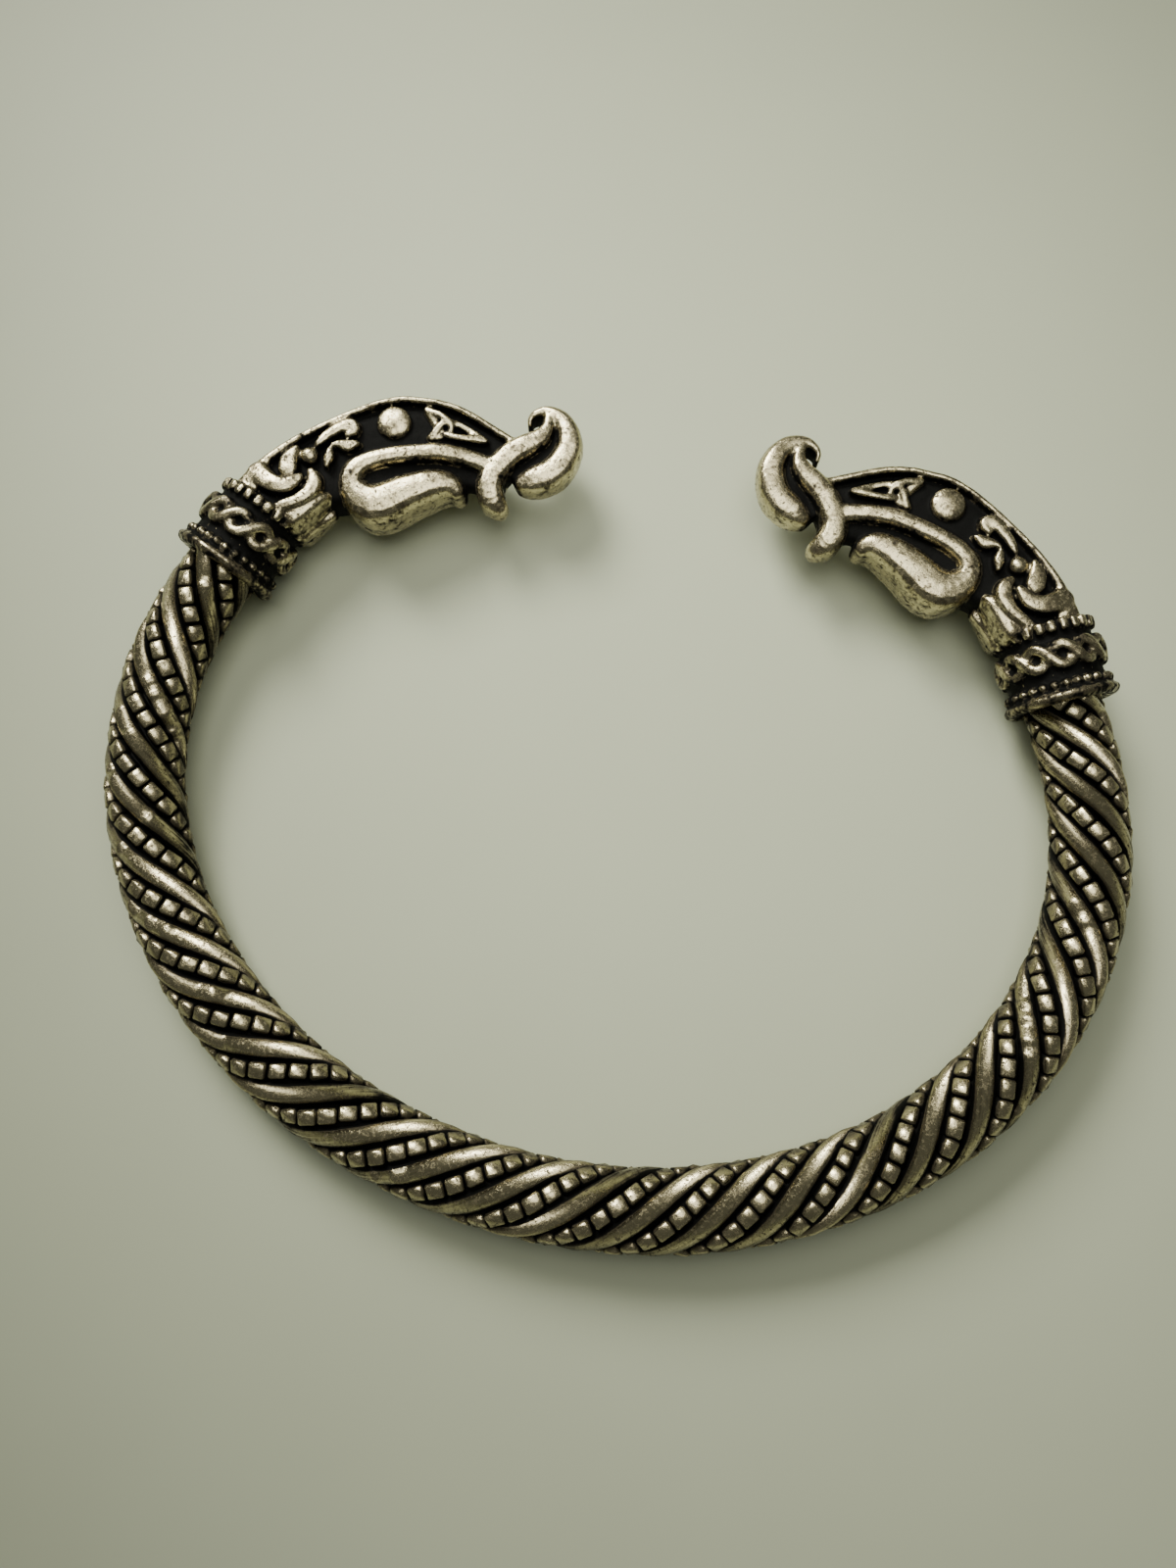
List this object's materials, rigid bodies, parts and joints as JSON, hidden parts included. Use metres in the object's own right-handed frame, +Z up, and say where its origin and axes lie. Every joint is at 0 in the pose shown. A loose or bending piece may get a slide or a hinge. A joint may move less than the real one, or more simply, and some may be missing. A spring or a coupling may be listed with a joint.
{
  "type": "open arm ring",
  "caption": "Open cast arm ring of twisted plain and beaded strands, with a beast's head in a plaited collar at each end.",
  "frame": {"origin": "on the surface that the ring lies on, under the middle of its outline", "axes": "+X across the ring's width, +Y from the middle of the back to the gap between the heads, +Z up"},
  "size_m": [0.0798, 0.0654, 0.0088],
  "materials": {
    "hoop": "antiqued silver plate over cast zinc alloy, dark in the grooves and worn bright on the crests",
    "left_head": "antiqued silver plate over cast zinc alloy, dark in the recesses and worn bright on the relief",
    "right_head": "antiqued silver plate over cast zinc alloy, dark in the recesses and worn bright on the relief"
  },
  "bodies": {
    "root": {"hoop": "hoop", "left_head": "left_head", "right_head": "right_head"}
  },
  "joints": []
}
